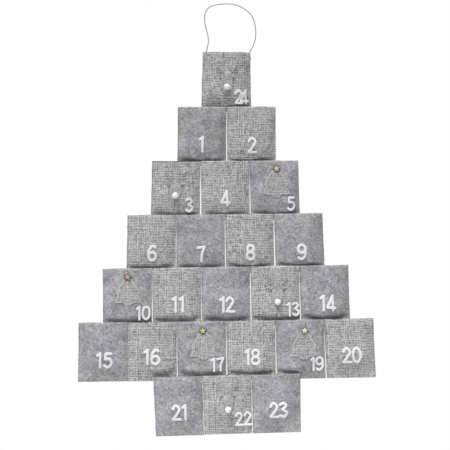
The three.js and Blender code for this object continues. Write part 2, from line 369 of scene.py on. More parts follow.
def new_group(name, inputs):
    """A node group that turns a Vector and named inputs into a Colour and a Height."""
    group = bpy.data.node_groups.new(name, "ShaderNodeTree")
    group.interface.new_socket("Vector", in_out="INPUT", socket_type="NodeSocketVector")
    for title, value in inputs.items():
        kind = "NodeSocketFloat" if isinstance(value, float) else "NodeSocketColor"
        socket = group.interface.new_socket(title, in_out="INPUT", socket_type=kind)
        socket.default_value = value
    for title, kind in (("Colour", "NodeSocketColor"), ("Height", "NodeSocketFloat")):
        group.interface.new_socket(title, in_out="OUTPUT", socket_type=kind)
    given = group.nodes.new("NodeGroupInput").outputs
    return group, given, group.nodes.new("NodeGroupOutput").inputs


def colour(hex_code):
    """A colour as it is written on a web page, as the linear values that nodes use."""
    shares = [int(hex_code[i : i + 2], 16) / 255 for i in (0, 2, 4)]
    linear = [s / 12.92 if s <= 0.04045 else ((s + 0.055) / 1.055) ** 2.4 for s in shares]
    return (*linear, 1.0)


def tones(titles, *hex_codes):
    return dict(zip(titles, map(colour, hex_codes)))


# %% [markdown]
# ## Needled felt
#
# Felt is a mat of short curled fibres without any weave. Seen from near it shows three
# things: soft clouds of darker and lighter wool, thin curly hairs that lie across them, and a
# fine grain. Each is a noise at its own scale. A hair is where a noise passes through its
# middle value, which draws a thin winding line. Coordinates are millimetres on the flat cloth.

# %% Make the felt group
FELT_TONES = ("Base", "Lilac wool", "Dark wool", "Light wool")
# The noises of the felt, in waves for each millimetre
CLOUD_SCALE, CURL_SCALE, LILAC_SCALE, GRAIN_SCALE = 0.03, 0.15, 0.045, 2.6
# For each layer of hairs: its scale, how much it is twisted, and its shift in the noise
HAIR_LAYERS = [(0.2, 2.2, 40.0), (0.42, 1.6, 80.0)]
HAIR_WIDTH = 0.06


def make_felt_group():
    own_tones = tones(FELT_TONES, "8c8b8d", "8b8897", "636166", "b9b9bb")
    group, given, out = new_group("needled_felt", {**own_tones, "Hairs": 0.65})
    at = given["Vector"]
    cloud = clouds(at, CLOUD_SCALE, distortion=0.6)
    curls = clouds(at, CURL_SCALE, 3.0, 0.6, 1.6)
    level = times(cloud, 0.35, minus(curls, 0.175))
    lilac = soft_step(clouds(at, LILAC_SCALE, distortion=1.0), 0.46, 0.6)
    shade = blend_colours(lilac, given["Base"], given["Lilac wool"])
    dark = minus(1.0, soft_step(level, 0.36, 0.5))
    shade = blend_colours(dark, shade, given["Dark wool"])
    shade = blend_colours(soft_step(level, 0.5, 0.66), shade, given["Light wool"])
    threads = []
    for scale, twist, shift in HAIR_LAYERS:
        moved = add_node(group, "ShaderNodeVectorMath", {0: at, 1: (shift,) * 3}, operation="ADD")
        curl = clouds(moved.outputs[0], scale, distortion=twist)
        off_middle = maths("ABSOLUTE", minus(curl, 0.5))
        threads.append(minus(1.0, soft_step(off_middle, 0.0, HAIR_WIDTH)))
    hairs = maths("MAXIMUM", *threads)
    shade = blend_colours(times(hairs, given["Hairs"]), shade, given["Light wool"])
    grain = clouds(at, GRAIN_SCALE, 3.0, 0.7)
    give(out["Colour"], toned(shade, times(grain, 0.56, 0.72)))
    lumps = times(hairs, 0.35, times(grain, 0.8))
    give(out["Height"], times(curls, 0.5, lumps))
    return group


felt_group = make_felt_group()
print("felt group:", len(felt_group.nodes), "nodes")

# %% [markdown]
# ## Coarse woven cloth
#
# The other pouches are a plain weave of thick slubby yarns. The yarns that run up and the ones
# that run across take turns to lie on top. A cosine along each yarn lifts it at every second
# crossing, a half circle across it makes it round, and the higher of the two yarns is the one
# that shows. Pale and dark yarns alternate both ways. In a plain weave that draws fine lines,
# upright or level, and they change direction wherever two yarns of one shade lie side by side,
# which gives the cloth its patches. A stretched noise adds the darker and lighter runs.

# %% Make the weave group
YARN_TONES = ("Dark yarn", "Middle yarn", "Light yarn")
# How far the yarns stray from a straight line, in yarn widths, slowly and from slub to slub
WANDER, SLUB = 1.5, 0.5
# How the yarns' own noises are stretched along them, and how far pale yarns are lighter
BLOCK_STRETCH, RUN_STRETCH, FIBRE_STRETCH = 0.02, 0.13, 0.7
PALE_LIFT = 0.18
UPRIGHT_SEED, LEVEL_SEED = 3.7, 9.2


def yarn(given, along, across, seed, drift):
    """One set of yarns: which one it is, how round, its tones and its fibres at each point."""
    wander, slub = drift
    place = maths("DIVIDE", across, given["Yarn width"])
    place = times(slub, SLUB, times(wander, WANDER, place))
    index = maths("FLOOR", place)
    side = minus(maths("FRACT", place), 0.5)
    bow = times(side, side)
    roundness = maths("SQRT", minus(1.0, times(bow, 3.9)))
    block = clouds(point_at(index, times(along, BLOCK_STRETCH), seed), 0.16, 1.0)
    block = maths("GREATER_THAN", block, 0.4)
    parity = times(maths("FRACT", times(index, 0.5)), 2.0)
    pale = maths("ABSOLUTE", minus(parity, block))
    mix = clouds(point_at(times(along, RUN_STRETCH), times(index, 7.31), seed), 1.0, 2.0, 0.6)
    fibres = clouds(point_at(times(along, FIBRE_STRETCH), times(place, 6.0), seed), 1.6)
    paleness = times(pale, PALE_LIFT, mix)
    shade = blend_colours(
        soft_step(paleness, 0.54, 0.72), given["Middle yarn"], given["Light yarn"]
    )
    edge = maths("ADD", given["Share of dark"], 0.12)
    dark = minus(1.0, soft_step(paleness, given["Share of dark"], edge))
    shade = blend_colours(dark, shade, given["Dark yarn"])
    return place, index, roundness, fibres, toned(shade, times(fibres, 0.5, 0.75))


def make_weave_group():
    own_tones = tones(YARN_TONES, "656565", "979797", "d0d0cf")
    inputs = {"Yarn width": 1.65, **own_tones, "Share of dark": 0.4}
    group, given, out = new_group("plain_weave", inputs)
    drift = clouds(given["Vector"], 0.025, 1.0), clouds(given["Vector"], 0.25, 1.0)
    x, y, _ = add_node(group, "ShaderNodeSeparateXYZ", {0: given["Vector"]}).outputs
    upright = yarn(given, y, x, UPRIGHT_SEED, drift)
    level = yarn(given, x, y, LEVEL_SEED, drift)
    heights = []
    for own, other, lift in ((upright, level, 0.5), (level, upright, -0.5)):
        crossing = times(maths("ADD", minus(other[0], 0.5), own[1]), math.pi)
        body = times(own[2], 0.9, times(maths("COSINE", crossing), lift))
        heights.append(times(own[3], 0.25, body))
    top = maths("MAXIMUM", *heights)
    shade = blend_colours(maths("GREATER_THAN", *heights), level[4], upright[4])
    # The colour is darkened where both yarns dip low between crossings: painted shade in the hollows of the weave.
    give(out["Colour"], toned(shade, times(soft_step(top, 0.25, 0.95), 0.6, 0.4)))
    give(out["Height"], top)
    return group


weave_group = make_weave_group()
print("weave group:", len(weave_group.nodes), "nodes")

# %% [markdown]
# ## One material for each finish
#
# Cloth scatters light softly, so every finish here is rough, without metal or coat. Felt and
# flock have a little sheen, the pale rim that short fibres show. The pattern's height goes
# into a Bump node, whose distance is the real depth of the relief in metres.

# %% Put the groups into materials
THIN_FELT = 0.3, 0.25  # relief in mm, sheen


def cloth_material(name, group, relief, sheen, values, source="cloth"):
    """A finish whose pattern lies on the flat cloth, or on the object's own coordinates."""
    material = bpy.data.materials.new(name)
    material.use_nodes = True
    tree = material.node_tree
    shader = tree.nodes["Principled BSDF"]
    for title, value in (
        ("Roughness", 0.92),
        ("Specular IOR Level", 0.25),
        ("Sheen Weight", sheen),
        ("Sheen Roughness", 0.6),
    ):
        shader.inputs[title].default_value = value
    if source == "object":
        at = add_node(tree, "ShaderNodeTexCoord").outputs["Object"]
        mapping = {"Vector": at, "Scale": (1 / MM,) * 3}
        at = add_node(tree, "ShaderNodeMapping", mapping).outputs[0]
    else:
        at = add_node(tree, "ShaderNodeAttribute", attribute_name=source).outputs["Vector"]
    pattern = add_node(tree, "ShaderNodeGroup", node_tree=group)
    for title, value in {"Vector": at, **values}.items():
        give(pattern.inputs[title], value)
    give(shader.inputs["Base Color"], pattern.outputs["Colour"])
    height = {"Strength": 1.0, "Distance": relief * MM, "Height": pattern.outputs["Height"]}
    give(shader.inputs["Normal"], add_node(tree, "ShaderNodeBump", height).outputs[0])
    return material


felt_grey = cloth_material("felt_grey", felt_group, 0.35, 0.25, {})
lilac_tones = tones(FELT_TONES, "98989b", "9695a0", "7f7f83", "bdbdc0")
felt_lilac = cloth_material("felt_lilac", felt_group, *THIN_FELT, lilac_tones)
antler_tones = tones(FELT_TONES, "8f8f91", "8f8f93", "77777a", "b4b4b6")
felt_antler = cloth_material("felt_antler", felt_group, *THIN_FELT, antler_tones)
woven_grey = cloth_material("woven_grey", weave_group, 0.45, 0.1, {})
trim_values = tones(YARN_TONES, "666668", "8f8f91", "c8c8c9")
trim_values |= {"Yarn width": 1.6, "Share of dark": 0.36}
woven_trim = cloth_material("woven_trim", weave_group, 0.4, 0.1, trim_values)
print("cloth finishes:", len(bpy.data.materials))

# %% [markdown]
# ## Flock, pompom wool, thread and twine
#
# The white numerals look like flock on foam, so they get a fine grain and little else. The
# pompoms, threads, the ears' dark patches of painted shade and twine share that grain, each in
# its own two tones. The twine needs no painted twist, because its plies are real shapes.

# %% Make the grain group and the plain finishes


def make_grain_group():
    inputs = {**tones(("Base", "Shade"), "e5e5e7", "d6d6da"), "Scale": 1.5}
    group, given, out = new_group("fine_grain", inputs)
    grain = clouds(given["Vector"], given["Scale"], 4.0, 0.65, 0.4)
    shade = blend_colours(soft_step(grain, 0.32, 0.6), given["Shade"], given["Base"])
    give(out["Colour"], shade)
    give(out["Height"], grain)
    return group


def plain_finish(name, base, shade, relief=0.1, sheen=0.1, scale=1.5):
    values = {**tones(("Base", "Shade"), base, shade), "Scale": scale}
    return cloth_material(name, grain_group, relief, sheen, values, "object")


grain_group = make_grain_group()
numeral_white = plain_finish("numeral_white", "e5e5e7", "d6d6da", 0.12, 0.3)
pompom_white = plain_finish("pompom_white", "fbfbfb", "f3f3f3", sheen=0.4)
grey_thread = plain_finish("grey_thread", "9a9a9d", "77777a", 0.08, scale=4.0)
pale_thread = plain_finish("pale_thread", "dededc", "c0c0be", 0.08, scale=4.0)
twine = plain_finish("twine", "a89c8a", "7d7263", scale=2.5)
# The dark patches in the reindeer's ears are painted shade.
ear_dark = plain_finish("ear_dark", "5c5c60", "46464a")
print("materials:", len(bpy.data.materials))

# %% [markdown]
# ## The hanging cord
#
# A thin natural twine goes up from behind the top pouch, over the nail and down again, in the
# relaxed loop that the photograph shows. Twine is plies of fibre twisted round each other.
# The route is a smooth curve through a few points. Each ply is a round section that is carried
# along a spiral round that route, which gives the real ridges instead of a painted pattern.

# %% Draw the route of the cord
LOOP_ROUTE = [
    (-41, -97.2), (-39, -88), (-36.8, -77.6), (-37.2, -66), (-40, -53), (-43.5, -39.5),
    (-44.3, -26.7), (-42.3, -15.4), (-36.6, -7.6), (-26.8, -2.5), (-13.9, 0), (0, 1),
    (10, 0.5), (19, -1.3), (29, -5), (41, -12.6), (49.5, -21), (55.1, -32.3),
    (58.3, -45.2), (59.2, -60.7), (56.9, -75), (52.3, -86.6), (46.5, -97.2),
]  # fmt: skip
CORD = 2.0 * MM


def smooth_line(points, steps):
    """Points along a smooth curve through the given ones, with its handles set by neighbours."""
    points = [Vector(point) for point in points]
    line = []
    for i in range(len(points) - 1):
        before = points[max(i - 1, 0)]
        start, end = points[i], points[i + 1]
        after = points[min(i + 2, len(points) - 1)]
        handles = start + (end - before) / 6, end - (after - start) / 6
        line += interpolate_bezier(start, *handles, end, steps + 1)[:-1]
    return line + [points[-1]]


def length_of(line):
    return sum((end - start).length for start, end in zip(line, line[1:]))


def evenly(line, gap):
    """The same line with its points a fixed distance apart."""
    total = length_of(line)
    count = max(2, math.ceil(total / gap))
    spaced, travelled, i = [line[0]], 0.0, 0
    for step in range(1, count):
        wanted = total * step / count
        while travelled + (line[i + 1] - line[i]).length < wanted:
            travelled += (line[i + 1] - line[i]).length
            i += 1
        share = (wanted - travelled) / (line[i + 1] - line[i]).length
        spaced.append(line[i].lerp(line[i + 1], share))
    return spaced + [line[-1]]


loop_line = smooth_line([(x * MM, 0, z * MM) for x, z in LOOP_ROUTE], 8)
loop_length = length_of(loop_line)
print("cord length:", round(loop_length, 4), "m")

# %% Twist plies round a route
PLIES = 3
PLY_RADIUS = 0.54 * MM
PLY_OFFSET = CORD / 2 - PLY_RADIUS
TWIST_LENGTH, TWIST_STEPS = 6 * MM, 10
STRAY_HAIRS, STRAY_REACH, STRAY_RADIUS, STRAY_SEED = 150, 1.6 * MM, 0.07 * MM, 24


def carried_along(line):
    """For each point of a line: the point, its direction, and a side that follows the bends."""
    side = None
    for before, centre, after in zip([line[0], *line], line, [*line[1:], line[-1]]):
        along = (after - before).normalized()
        side = side or along.orthogonal()
        side = (side - along * along.dot(side)).normalized()
        yield centre, along, side


def add_tube(bm, line, radius, sides=6):
    """Sweeps a ring of corners along a line and closes each end with one face."""
    turns = [2 * math.pi * k / sides for k in range(sides)]
    rings = []
    for i, (centre, along, side) in enumerate(carried_along(line)):
        up = along.cross(side)
        width = radius(i / (len(line) - 1)) if callable(radius) else radius
        corners = [centre + (side * math.cos(t) + up * math.sin(t)) * width for t in turns]
        rings.append([bm.verts.new(corner) for corner in corners])
    for low, high in zip(rings, rings[1:]):
        for k in range(sides):
            j = (k + 1) % sides
            bm.faces.new((low[k], low[j], high[j], high[k]))
    bm.faces.new(rings[0][::-1])
    bm.faces.new(rings[-1])


def add_twine(bm, line):
    """Lays the plies of a twine round a line."""
    line = evenly(line, TWIST_LENGTH / TWIST_STEPS)
    for ply in range(PLIES):
        spiral = []
        for i, (centre, along, side) in enumerate(carried_along(line)):
            turn = 2 * math.pi * (ply / PLIES + i / TWIST_STEPS)
            spiral.append(centre + Matrix.Rotation(turn, 3, along) @ side * PLY_OFFSET)
        add_tube(bm, spiral, PLY_RADIUS)


def add_stray_hairs(bm, line):
    """Short hairs that stand off a twine, each a thin bent tube of three sides."""
    draw = random.Random(STRAY_SEED)
    for _ in range(STRAY_HAIRS):
        i = draw.randrange(1, len(line) - 1)
        along = (line[i + 1] - line[i - 1]).normalized()
        turn = draw.uniform(0, 2 * math.pi)
        out = Matrix.Rotation(turn, 3, along) @ along.orthogonal().normalized()
        root = line[i] + out * CORD * 0.35
        lean = along * draw.uniform(-1, 1)
        tip = root + (out + lean) * STRAY_REACH * draw.uniform(0.5, 1)
        bend = root.lerp(tip, 0.5) + lean * STRAY_REACH * 0.1
        add_tube(bm, [root, bend, tip], STRAY_RADIUS, 3)


def make_cord():
    bm = bmesh.new()
    add_twine(bm, loop_line)
    add_stray_hairs(bm, loop_line)
    piece = new_piece("twine_loop", bm, twine, "twine", "hanging_cord")
    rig.cord(
        piece,
        exit=loop_line[0],
        length=round(loop_length, 3),
        diameter=CORD,
        far_end="object",
        stiffness="limp",
        lay="hanging",
        path=evenly(loop_line, 2 * MM),
    )
    return piece


cord_piece = make_cord()
print("cord faces:", len(cord_piece.data.polygons))

# %% [markdown]
# ## Where each pouch hangs
#
# The CAD sets the rows out on a perfect grid. The real one was laid out by hand: each row is
# turned a little, lies a little aside, and the gaps between neighbours open or close. These
# are small shifts of a few millimetres on the CAD's own places, so they are given as such.

# %% Set out the rows
ROWS = [
    [24],
    [1, 2],
    [3, 4, 5],
    [6, 7, 8, 9],
    [10, 11, 12, 13, 14],
    [15, 16, 17, 18, 19, 20],
    [21, 22, 23],
]
WOVEN = {2, 3, 4, 6, 8, 11, 13, 16, 18, 20, 22, 24}
TREES = (5, 10, 17, 19)
REINDEER = (3, 13, 22, 24)
# For each row: how far aside and up it lies, in mm, and how far its right end is turned up, in
# degrees
HANG = [
    (0, 0, -0.3), (0.6, -1.4, -0.2), (-2.6, -1.5, 0.2), (-3.2, -0.8, 0.7), (-2, 1.8, 1.0),
    (-1, 1.4, 0.9), (0.6, 0, 1.6),
]  # fmt: skip
# For each row: its whole width at the mouths and at the bottoms, in mm
SPREAD = [
    (96, 101), (197, 199), (294.5, 301.5), (393, 401), (495, 499.5), (594, 602), (297, 293),
]  # fmt: skip
# For each number but a row's first: the gap on its left at the mouth and at the bottom, in mm
GAPS = {
    2: (0.8, 2.0), 4: (0.4, 3.2), 5: (0.3, 2.0), 7: (0.4, 1.2), 8: (0.8, 1.6), 9: (1.0, 2.8),
    11: (0.2, 2.2), 12: (0.4, 1.3), 13: (1.2, 1.9), 14: (0.6, 2.2), 16: (0.2, 0.3),
    17: (0.3, 1.5), 18: (0.3, 1.9), 19: (0.9, 2.0), 20: (0.2, 2.4), 22: (0.6, 0.9),
    23: (0.4, 1.7),
}  # fmt: skip

POUCH_WIDTH, POUCH_HEIGHT = 98, 120
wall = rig.box("pouch_24")[1].y


def named(kind, number):
    return f"{kind}_{number:02d}"


def numbered_piece(kind, number, bm, material, slot, node, stands_for=True):
    node = named(node, number)
    return new_piece(named(kind, number), bm, material, slot, node, stands_for)


class Place:
    """Where a pouch hangs: turns millimetres across and up it into the model's frame."""

    def __init__(self, number, row, index):
        numbers = ROWS[row]
        aside, up, turn = HANG[row]
        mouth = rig.box(named("pouch", number))[1].z
        self.row = row
        self.middle = SPREAD[row][0] * ((index + 0.5) / len(numbers) - 0.5)
        self.draw = random.Random(number)
        self.row_middle = Vector((aside * MM, 0, mouth + up * MM))
        self.turn = Matrix.Rotation(-math.radians(turn), 3, "Y")
        self.drop = self.draw.uniform(-0.5, 0.4)
        edges = []
        for level, width in enumerate(SPREAD[row]):
            left = width * (index / len(numbers) - 0.5)
            right = left + width / len(numbers)
            if index:
                left += GAPS[number][level] / 2
            if index + 1 < len(numbers):
                right -= GAPS[numbers[index + 1]][level] / 2
            edges.append((left, right))
        self.top, self.bottom = edges

    def at(self, share, height, depth):
        """share goes from -1 at the left edge to 1 at the right, height is above the fold."""
        level = height / POUCH_HEIGHT
        left = self.bottom[0] + (self.top[0] - self.bottom[0]) * level
        right = self.bottom[1] + (self.top[1] - self.bottom[1]) * level
        x = left + (right - left) * (share + 1) / 2
        turned = self.turn @ (Vector((x, 0, height - POUCH_HEIGHT + self.drop)) * MM)
        x, z = self.row_middle.x + turned.x, self.row_middle.z + turned.z
        return Vector((x, wall - depth * MM, z))


places = {
    number: Place(number, row, index)
    for row, numbers in enumerate(ROWS)
    for index, number in enumerate(numbers)
}
print("pouches placed:", len(places))

# %% [markdown]
# ## Folding a pouch from one strip of cloth
#
# A real pouch is a strip of cloth, folded in half and sewn up both sides. So the mesh starts
# as a flat grid, as wide as the pouch and twice its height. Every point is then moved to where
# the fold puts it: the back lies against the wall, steps forward near the mouth to clear the
# row above, and the front swells out between the side seams. Slow noise adds the slack that
# cloth always has, and puckers run in from the seams.

# %% Shape the front and the back
CLOTH = 2.0
FOLD = 2 * CLOTH
STAND_OFF = 4.5
BELLY = 15.0
# For each row: how high its bottom is pressed flat, in mm, and how sharply the belly starts above
HELD_FLAT = [4, 10.5, 12, 15, 16, 16.5, 0]
TUCK_SHARES = [0.1, 0.5, 0.46, 0.6, 0.86, 0.96, 0]
# How far up the belly takes to come out: below a sharp tuck, a soft one, and where it hangs free
TUCK, BELLY_RISE, FREE_RISE = 7.0, 34.0, 52.0
COVER_EDGE, SLACK_RISE = 16, 20
STEP_FOOT, STEP_RUN = 80.0, 25.0
SEAM = 3.0
HALF = POUCH_WIDTH / 2
# How full the belly is between its seams, and how far the puckers reach in from them
SWELL_POWER, PUCKER_REACH = 3.4, 13
# Noises, as how strong they are in mm: the tuck's line, slack in long and in short waves, the
# mouth's front edge, the puckers, the side edges and the lips
TUCK_WAVER, SLACK, SHORT_SLACK, MOUTH_WAVER = 3.2, 1.3, 0.45, 1.6
PUCKER, EDGE_WAVER, LIP_WAVER = 0.4, 0.35, 0.7
MOUTH_FOOT, LIP_FOOT = 88, 100


def waver(strength, x, y, z):
    return strength * noise.noise(Vector((x, y, z)))


def back_depth(height):
    return STAND_OFF * ease((height - STEP_FOOT) / STEP_RUN)


def covered(place, across):
    """1 where the next row's mouths hold the bottom to the wall, 0 where it hangs free."""
    if place.row + 1 == len(ROWS):
        return 0
    next_half = SPREAD[place.row + 1][0] / 2
    return ease((next_half - abs(place.middle + across)) / COVER_EDGE + 0.5)


def front_depth(place, across, height):
    """How far the outer face of the front stands off the wall. Divisors are wavelengths, in mm."""
    seed = place.seed
    edge = back_depth(height) + FOLD
    above = height - HELD_FLAT[place.row] - waver(TUCK_WAVER, across / 24, seed, 8.0)
    sharp = TUCK_SHARES[place.row]
    tucked = sharp * ease(above / TUCK) + (1 - sharp) * ease(above / BELLY_RISE)
    held = covered(place, across)
    form = held * tucked + (1 - held) * ease(height / FREE_RISE)
    full = FOLD + (place.belly - FOLD) * form
    from_edge = HALF - abs(across)
    inward = min(max((from_edge - SEAM) / (HALF - SEAM), 0), 1)
    swell = 1 - (1 - inward) ** SWELL_POWER
    free = ease((height - HELD_FLAT[place.row] * held) / SLACK_RISE)
    slack = waver(SLACK, across / 34, height / 46, seed)
    slack += waver(SHORT_SLACK, across / 12, height / 17, seed + 7)
    mouth = ease((height - MOUTH_FOOT) / (POUCH_HEIGHT - MOUTH_FOOT))
    slack += waver(MOUTH_WAVER, across / 26, seed, 3.0) * mouth
    pucker = waver(PUCKER, math.copysign(9, across), height / 4.5, seed)
    pucker *= math.exp(-((from_edge / PUCKER_REACH) ** 2)) * ease((from_edge - SEAM) / SEAM)
    return edge + (full - edge) * swell + slack * swell * free + pucker * free


# %% Fold the strips
COLUMNS, FRONT_ROWS, FOLD_ROWS, BACK_ROWS = 42, 46, 6, 22
# Half the length of cloth that goes round the bottom fold
BEND = math.pi * CLOTH / 4
# Every pouch is cut from a place of its own on the cloth
POUCH_SHIFT = Vector((137, 71, 13))
POUCH_ROUNDING = 0.45


def grid_lines():
    """Distances along the strip, in mm: minus is the back, 0 the fold's middle, plus the front."""
    top = POUCH_HEIGHT - CLOTH + BEND
    back = [-top + (top - BEND) * i / BACK_ROWS for i in range(BACK_ROWS)]
    fold = [-BEND + 2 * BEND * i / FOLD_ROWS for i in range(FOLD_ROWS)]
    front = [BEND + (top - BEND) * i / FRONT_ROWS for i in range(FRONT_ROWS + 1)]
    return back + fold + front


def column_share(step):
    """Columns lie closer together near the side seams, where the cloth bends most."""
    even = 2 * step / COLUMNS - 1
    return 0.55 * even + 0.45 * math.sin(even * math.pi / 2)


def folded(place, share, along):
    """Where a point of the flat strip comes to lie."""
    across = share * HALF
    wave = waver(EDGE_WAVER, math.copysign(5, share), along / 16, place.seed)
    share += wave / HALF * abs(share) ** 6
    if abs(along) < BEND:
        turn = along / BEND * math.pi / 2
        height, depth = CLOTH - math.cos(turn) * CLOTH / 2, CLOTH + math.sin(turn) * CLOTH / 2
        return place.at(share, height, depth)
    height = abs(along) - BEND + CLOTH
    lip = waver(LIP_WAVER, share * 1.6, math.copysign(2, along), place.seed)
    if along > 0:
        lip -= place.gape * (1 - share * share)
    height += lip * ease((height - LIP_FOOT) / (POUCH_HEIGHT - LIP_FOOT))
    if along < 0:
        return place.at(share, height, back_depth(height) + CLOTH / 2)
    return place.at(share, height, front_depth(place, across, height) - CLOTH / 2)


def finish_of(number):
    return (woven_grey, "woven_grey") if number in WOVEN else (felt_grey, "felt_grey")


def make_pouch(number):
    place = places[number]
    place.seed = 11.3 * number
    place.belly = BELLY + place.draw.uniform(-2.2, 0.6)
    place.gape = place.draw.uniform(0.2, 2.0)
    lines = grid_lines()
    bm = bmesh.new()
    bmesh.ops.create_grid(bm, x_segments=COLUMNS, y_segments=len(lines) - 1, size=1)
    on_cloth = bm.verts.layers.float_vector.new("cloth")
    for vert in bm.verts:
        share = column_share(round((vert.co.x + 1) / 2 * COLUMNS))
        along = lines[round((vert.co.y + 1) / 2 * (len(lines) - 1))]
        vert[on_cloth] = Vector((share * HALF, along, 0)) + POUCH_SHIFT * number
        vert.co = folded(place, share, along)
    bmesh.ops.recalc_face_normals(bm, faces=bm.faces)
    piece = numbered_piece("cloth_pouch", number, bm, *finish_of(number), "pouch")
    give_thickness(piece, CLOTH, POUCH_ROUNDING, 2)
    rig.sheet(piece, flat=(POUCH_WIDTH * MM, 2 * POUCH_HEIGHT * MM), held="folded")
    return piece


pouches = {number: make_pouch(number) for number in places}
print("pouches:", len(pouches), "faces each:", len(pouches[24].data.polygons))

# %% [markdown]
# ## Melting overlapping shapes into one skin
#
# Numerals and antlers are drawn with round beads strung close together along each stroke. The
# Remesh modifier wraps all beads in one even skin, which leaves the soft, slightly uneven edge
# that such a hand-made part has. Its points are then pressed between two planes, which gives
# the piece a flat back.

# %% Melt and press
BEADS_IN_WIDTH, BEAD_WAVER, BEAD_WAVE = 5, 0.05, 6 * MM


def string_beads(bm, stroke, width, thickness, seed):
    """Sets flat round beads along a stroke. Their size wavers a little."""
    for dot in evenly(stroke, width / BEADS_IN_WIDTH):
        spot = Vector((dot.x, dot.z, seed)) / BEAD_WAVE + Vector((0, 0, seed))
        grow = 1 + BEAD_WAVER * noise.noise(spot)
        size = Matrix.Diagonal((width / 2 * grow, thickness * grow, width / 2 * grow, 1))
        place = Matrix.Translation(dot) @ size
        bmesh.ops.create_icosphere(bm, subdivisions=2, radius=1, matrix=place)


def melt(bm, voxel, front, back):
    """Joins the beads into one skin of small even cells and presses it between two depths."""
    lumps = new_object("lumps", bm)
    mesh = lumps.data
    remesh = lumps.modifiers.new("melt", "REMESH")
    remesh.mode = "VOXEL"
    remesh.voxel_size = voxel
    skin = bmesh.new()
    skin.from_object(lumps, bpy.context.evaluated_depsgraph_get())
    bpy.data.objects.remove(lumps)
    bpy.data.meshes.remove(mesh)
    axes = {"use_axis_x": True, "use_axis_y": True, "use_axis_z": True}
    for _ in range(2):
        bmesh.ops.smooth_vert(skin, verts=skin.verts, factor=0.5, **axes)
    for vert in skin.verts:
        vert.co.y = max(min(vert.co.y, back), front)
    return skin


# %% [markdown]
# ## Laying a small piece on a pouch
#
# Every trim is drawn flat first, in millimetres from the pouch's middle line and above its
# bottom fold. A ray is then shot at the pouch from in front for each point, and the point is
# put where the ray meets the cloth. A stiff trim doesn't follow the cloth into the hollow
# at the bottom or round the side seams, so its rays are kept away from there.

# %% Lay points on the cloth
STIFF_LOW, STIFF_EDGE = 25.0, 0.84
RAY_START, RAY_REACH = 0.3, 0.6
surfaces = bpy.context.evaluated_depsgraph_get()


class Front:
    """The outer face of a pouch, on which trims are laid."""

    def __init__(self, number):
        self.place = places[number]
        self.tree = BVHTree.FromObject(pouches[number], surfaces)

    def depth(self, aside, height):
        share = min(max(aside / HALF, -STIFF_EDGE), STIFF_EDGE)
        spot = self.place.at(share, max(height, STIFF_LOW), 0)
        start = Vector((spot.x, wall - RAY_START, spot.z))
        hit = self.tree.ray_cast(start, Vector((0, 1, 0)), RAY_REACH)
        return (wall - hit[0].y) / MM

    def at(self, aside, height, off):
        return self.place.at(aside / HALF, height, self.depth(aside, height) + off)

    def drape(self, bm, aside, height, off):
        """Lays a flat drawing, whose y is its own depth, on the cloth."""
        for vert in bm.verts:
            own = vert.co / MM
            vert.co = self.at(aside + own.x, height + own.z, off - own.y)


fronts = {number: Front(number) for number in places}
print("cloth in front of the wall at pouch 1:", round(fronts[1].depth(0, 60), 1), "mm")

# %% [markdown]
# ## Numerals
#
# The numerals are white, raised and soft edged, with round stroke ends, like flocked foam.
# Plain pouches carry them in the middle, decorated ones smaller in the lower right corner.
# Each digit is a few strokes in a box one unit high. A number's digits stand side by side, as
# close as the photograph shows them. All sit a few millimetres off the regular places, since
# they were stuck on by hand.

# %% Draw the digits
LOOP_STEPS = 28


def straight(*points):
    return [Vector((x, 0, z)) for x, z in points]


def curve(*points):
    return smooth_line(straight(*points), 10)


def loop(x, z, width, height):
    turns = [2 * math.pi * i / LOOP_STEPS for i in range(LOOP_STEPS + 1)]
    return straight(*((x + width * math.sin(t), z + height * math.cos(t)) for t in turns))


DIGITS = [
    [loop(0.27, 0.5, 0.27, 0.5)],
    [straight((0, 0.85), (0.2, 1)), straight((0.2, 1), (0.19, 0))],
    [
        curve((0, 0.76), (0.2, 1), (0.46, 0.76), (0.28, 0.38), (0, 0.02)),
        straight((0, 0.02), (0.52, 0)),
    ],
    [
        curve((0, 0.88), (0.22, 1), (0.42, 0.78), (0.16, 0.56)),
        curve((0.16, 0.56), (0.47, 0.3), (0.28, 0), (0, 0.1)),
    ],
    [
        straight((0.42, 0), (0.39, 1)),
        straight((0.39, 1), (0.02, 0.18)),
        straight((0.02, 0.18), (0.56, 0.15)),
    ],
    [
        straight((0.46, 0.97), (0.1, 0.97)),
        straight((0.1, 0.97), (0.06, 0.58)),
        curve((0.06, 0.58), (0.36, 0.6), (0.5, 0.28), (0.24, 0), (0, 0.1)),
    ],
    [curve((0.46, 0.92), (0.27, 1), (0.05, 0.72), (0, 0.3)), loop(0.26, 0.28, 0.26, 0.28)],
    [straight((0, 0.93), (0.48, 0.98)), curve((0.48, 0.98), (0.3, 0.5), (0.26, 0))],
    [loop(0.26, 0.75, 0.22, 0.25), loop(0.26, 0.26, 0.26, 0.26)],
    [loop(0.26, 0.72, 0.26, 0.28), curve((0.52, 0.72), (0.5, 0.28), (0.26, 0), (0.03, 0.1))],
]
print("strokes in all digits:", sum(len(strokes) for strokes in DIGITS))

# %% Set and stick on the numerals
NUMERAL_HEIGHT, CORNER_HEIGHT = 34.0, 30.0
STROKE, RELIEF = 5.7, 2.3
BEAD_DEPTH, SUNK = 1.45 * RELIEF, 0.35
NUMERAL_VOXEL, DOT_GAP, NUDGE = 0.5 * MM, 1.2 * MM, 0.2 * MM
# For each two-digit number: the gap between the strokes of its digits, in mm
DIGIT_GAPS = {
    10: 1.3, 11: 3.0, 12: 0.6, 13: 1.4, 14: 1.4, 15: 2.8, 16: 2.4, 17: 1.0, 18: 1.2, 19: 0.6,
    20: 0.6, 21: 1.4, 22: -0.4, 23: -0.4, 24: -0.8,
}  # fmt: skip
